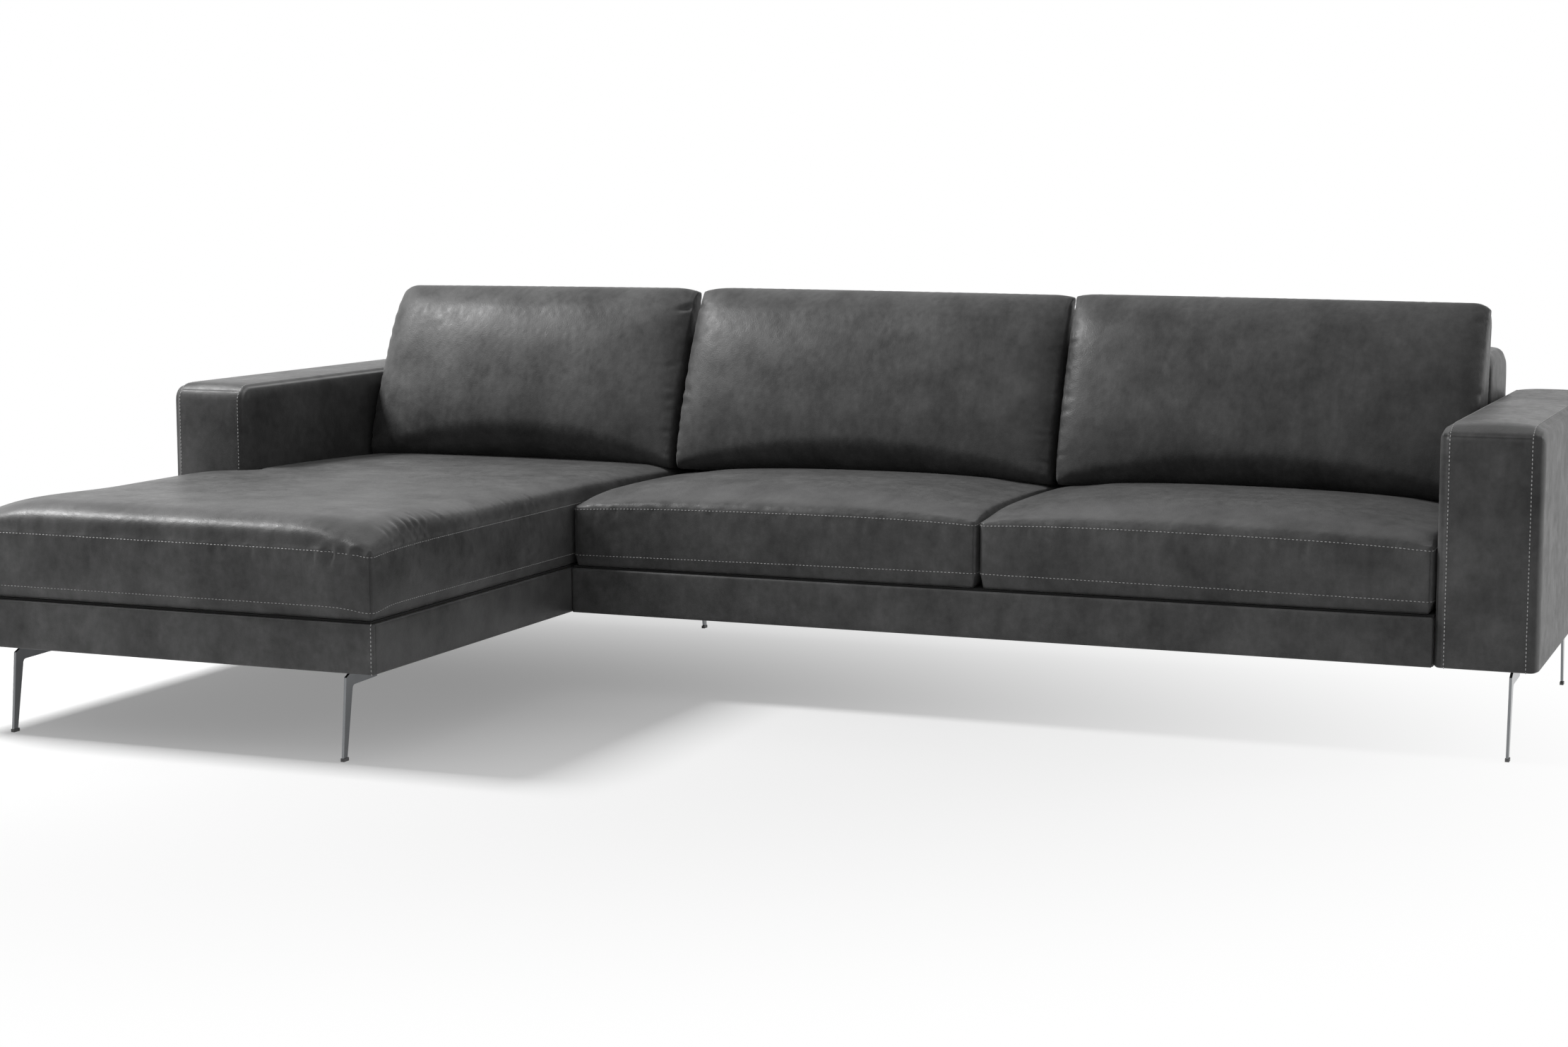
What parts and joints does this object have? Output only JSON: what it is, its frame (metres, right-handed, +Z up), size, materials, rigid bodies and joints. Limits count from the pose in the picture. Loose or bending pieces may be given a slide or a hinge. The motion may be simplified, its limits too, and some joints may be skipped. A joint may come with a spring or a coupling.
{
  "type": "lounge sofa",
  "caption": "Low L-shaped lounge sofa with a chaise end, loose boxed seat and back cushions, square padded arms and slim steel blade feet.",
  "frame": {"origin": "on the floor, in the middle of the sofa's footprint", "axes": "+X along the back towards the arm away from the chaise, +Y towards the rear, +Z up"},
  "size_m": [2.86, 1.685, 0.8017],
  "materials": {
    "upholstery": "charcoal nubuck-look hide, satin",
    "cushion_filling": "cold foam with a fibre wrap",
    "timber": "sawn pine and plywood",
    "webbing": "woven elastic webbing",
    "deck_cloth": "black felt",
    "dust_cloth": "black non-woven cloth",
    "polished_steel": "polished plate steel",
    "glide_plastic": "black moulded",
    "zinc_steel": "zinc plated"
  },
  "bodies": {
    "sofa_frame": {"chaise_arm_rail": "timber", "chaise_back_cover": "upholstery", "chaise_back_left_post": "timber", "chaise_back_right_post": "timber", "chaise_back_top_rail": "timber", "chaise_cross_rail": "timber", "chaise_deck": "deck_cloth", "chaise_dust_cover": "dust_cloth", "chaise_front_rail": "timber", "chaise_left_foot": "polished_steel", "chaise_left_rail": "timber", "chaise_plinth_cover": "upholstery", "chaise_rear_rail": "timber", "chaise_right_foot": "polished_steel", "chaise_right_rail": "timber", "corner_blocks": "timber", "foot_glides": "glide_plastic", "foot_screws": "zinc_steel", "frame_bolts": "zinc_steel", "junction_rear_foot": "polished_steel", "left_arm_bottom_rail": "timber", "left_arm_cover": "upholstery", "left_arm_front_foot": "polished_steel", "left_arm_front_post": "timber", "left_arm_rear_foot": "polished_steel", "left_arm_rear_post": "timber", "left_arm_side_panel": "timber", "module_bolts": "zinc_steel", "right_arm_bottom_rail": "timber", "right_arm_cover": "upholstery", "right_arm_front_foot": "polished_steel", "right_arm_front_post": "timber", "right_arm_rear_foot": "polished_steel", "right_arm_rear_post": "timber", "right_arm_side_panel": "timber", "seat_back_cover": "upholstery", "seat_back_left_post": "timber", "seat_back_right_post": "timber", "seat_back_top_rail": "timber", "seat_centre_rail": "timber", "seat_deck": "deck_cloth", "seat_dust_cover": "dust_cloth", "seat_front_rail": "timber", "seat_left_rail": "timber", "seat_plinth_cover": "upholstery", "seat_rear_rail": "timber", "seat_right_rail": "timber", "webbing_straps": "webbing"},
    "chaise_cushion": {"chaise_cushion_core": "cushion_filling", "chaise_cushion_cover": "upholstery"},
    "left_seat_cushion": {"left_seat_cushion_core": "cushion_filling", "left_seat_cushion_cover": "upholstery"},
    "right_seat_cushion": {"right_seat_cushion_core": "cushion_filling", "right_seat_cushion_cover": "upholstery"},
    "left_back_cushion": {"left_back_cushion_core": "cushion_filling", "left_back_cushion_cover": "upholstery"},
    "middle_back_cushion": {"middle_back_cushion_core": "cushion_filling", "middle_back_cushion_cover": "upholstery"},
    "right_back_cushion": {"right_back_cushion_core": "cushion_filling", "right_back_cushion_cover": "upholstery"}
  },
  "joints": [
    {"name": "left_back_cushion_lift", "type": "slide", "parent": "sofa_frame", "child": "left_back_cushion", "axis": [0, 0.1045, 0.9945], "range_m": [0, 0.35]},
    {"name": "middle_back_cushion_lift", "type": "slide", "parent": "sofa_frame", "child": "middle_back_cushion", "axis": [0, 0.1045, 0.9945], "range_m": [0, 0.35]},
    {"name": "right_back_cushion_lift", "type": "slide", "parent": "sofa_frame", "child": "right_back_cushion", "axis": [0, 0.1045, 0.9945], "range_m": [0, 0.35]},
    {"name": "chaise_cushion_pull", "type": "slide", "parent": "sofa_frame", "child": "chaise_cushion", "axis": [0, -1, 0], "range_m": [0, 0.65]},
    {"name": "left_seat_cushion_pull", "type": "slide", "parent": "sofa_frame", "child": "left_seat_cushion", "axis": [0, -1, 0], "range_m": [0, 0.65]},
    {"name": "right_seat_cushion_pull", "type": "slide", "parent": "sofa_frame", "child": "right_seat_cushion", "axis": [0, -1, 0], "range_m": [0, 0.65]}
  ]
}
